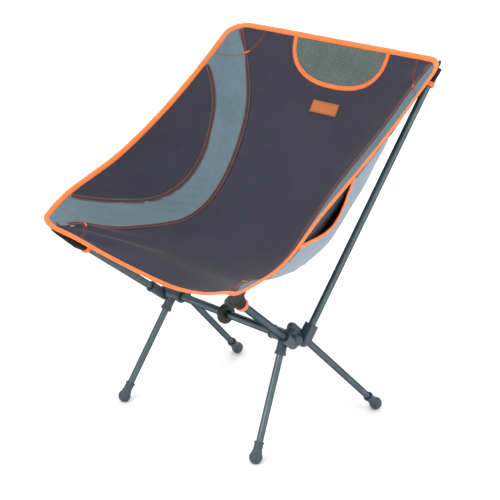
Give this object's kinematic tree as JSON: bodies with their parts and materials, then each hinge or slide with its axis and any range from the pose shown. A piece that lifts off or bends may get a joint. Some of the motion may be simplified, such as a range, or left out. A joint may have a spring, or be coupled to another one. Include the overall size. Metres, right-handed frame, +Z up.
{
  "type": "camping chair",
  "caption": "Low knock-down camping chair: aluminium pole frame on two moulded hubs, ball feet, and a fabric bucket sling with mesh window and side pockets",
  "frame": {"origin": "on the floor, under the middle of the chair's box", "axes": "+X to the sitter's left, front of the seat faces -Y, +Z up"},
  "size_m": [0.5294, 0.5036, 0.6418],
  "materials": {
    "hub_nylon": "moulded glass-filled nylon, satin, blue-grey",
    "foot_nylon": "moulded nylon, satin, blue-grey",
    "anodised_tube": "satin anodised, dark grey-green",
    "ferrule_aluminium": "plain drawn aluminium",
    "collar_rubber": "matt black rubber",
    "black_plastic": "moulded black nylon",
    "shock_cord": "braided elastic cord",
    "charcoal_fabric": "coated plain-weave polyester, charcoal",
    "grey_fabric": "coated plain-weave polyester, blue-grey",
    "back_mesh": "knitted polyester mesh, grey-green",
    "orange_tape": "folded grosgrain binding, orange",
    "black_fabric": "heavy coated polyester, black",
    "label_cloth": "woven label, plain"
  },
  "bodies": {
    "root": {"right_hub": "hub_nylon", "left_hub": "hub_nylon", "crossbar": "anodised_tube", "crossbar_collar": "collar_rubber", "crossbar_shock_cord": "shock_cord", "leg_shock_cords": "shock_cord", "seat_pole_shock_cords": "shock_cord", "back_pole_shock_cords": "shock_cord", "right_seat_pole": "anodised_tube", "left_seat_pole": "anodised_tube", "right_seat_pole_cap": "black_plastic", "left_seat_pole_cap": "black_plastic", "right_lower_back_pole": "anodised_tube", "left_lower_back_pole": "anodised_tube", "right_upper_back_pole": "anodised_tube", "left_upper_back_pole": "anodised_tube", "right_back_pole_ferrule": "ferrule_aluminium", "left_back_pole_ferrule": "ferrule_aluminium", "right_back_pole_cap": "black_plastic", "left_back_pole_cap": "black_plastic", "centre_panel": "charcoal_fabric", "mesh_panel": "back_mesh", "mesh_binding": "orange_tape", "edge_binding": "orange_tape", "back_label": "label_cloth", "right_side_panel": "grey_fabric", "left_side_panel": "grey_fabric", "right_wing_panel": "charcoal_fabric", "left_wing_panel": "charcoal_fabric", "right_front_corner_pocket": "black_fabric", "left_front_corner_pocket": "black_fabric", "right_front_pocket_tape": "orange_tape", "left_front_pocket_tape": "orange_tape", "right_top_corner_pocket": "black_fabric", "left_top_corner_pocket": "black_fabric", "right_top_pocket_tape": "orange_tape", "left_top_pocket_tape": "orange_tape", "right_side_pocket": "grey_fabric", "left_side_pocket": "grey_fabric", "right_side_pocket_tape": "orange_tape", "left_side_pocket_tape": "orange_tape"},
    "right_front_leg_body": {"right_front_leg": "anodised_tube", "right_front_foot": "foot_nylon", "right_front_leg_plug": "black_plastic"},
    "right_rear_leg_body": {"right_rear_leg": "anodised_tube", "right_rear_foot": "foot_nylon", "right_rear_leg_plug": "black_plastic"},
    "left_front_leg_body": {"left_front_leg": "anodised_tube", "left_front_foot": "foot_nylon", "left_front_leg_plug": "black_plastic"},
    "left_rear_leg_body": {"left_rear_leg": "anodised_tube", "left_rear_foot": "foot_nylon", "left_rear_leg_plug": "black_plastic"}
  },
  "joints": [
    {"name": "right_front_leg_pull", "type": "slide", "parent": "root", "child": "right_front_leg_body", "axis": [0.1409, -0.4724, -0.8701], "range_m": [0, 0.03], "stiffness_N_per_m": 120, "springref_m": -0.05},
    {"name": "right_rear_leg_pull", "type": "slide", "parent": "root", "child": "right_rear_leg_body", "axis": [0.1129, 0.6922, -0.7128], "range_m": [0, 0.03], "stiffness_N_per_m": 120, "springref_m": -0.05},
    {"name": "left_front_leg_pull", "type": "slide", "parent": "root", "child": "left_front_leg_body", "axis": [-0.1409, -0.4724, -0.8701], "range_m": [0, 0.03], "stiffness_N_per_m": 120, "springref_m": -0.05},
    {"name": "left_rear_leg_pull", "type": "slide", "parent": "root", "child": "left_rear_leg_body", "axis": [-0.1129, 0.6922, -0.7128], "range_m": [0, 0.03], "stiffness_N_per_m": 120, "springref_m": -0.05}
  ]
}
